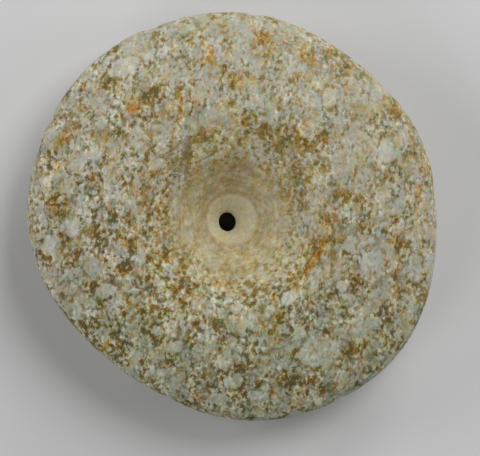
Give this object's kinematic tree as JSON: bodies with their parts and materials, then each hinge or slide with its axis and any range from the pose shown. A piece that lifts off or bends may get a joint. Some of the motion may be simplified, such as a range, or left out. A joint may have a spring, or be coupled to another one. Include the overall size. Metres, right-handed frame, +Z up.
{
  "type": "spindle whorl",
  "caption": "Round ground-stone spindle whorl with a dished upper side, a drilled cup and a narrow bore through its middle.",
  "frame": {"origin": "on the resting plane, under the middle of the whorl's width and length", "axes": "+Z up along the bore, out of the dished side; +X right and +Y away, seen from above"},
  "size_m": [0.0798, 0.0794, 0.02],
  "materials": {
    "stone": "ground smooth and weathered, matt, speckled grey-green, cream and rusty brown"
  },
  "bodies": {
    "root": {"whorl": "stone"}
  },
  "joints": []
}
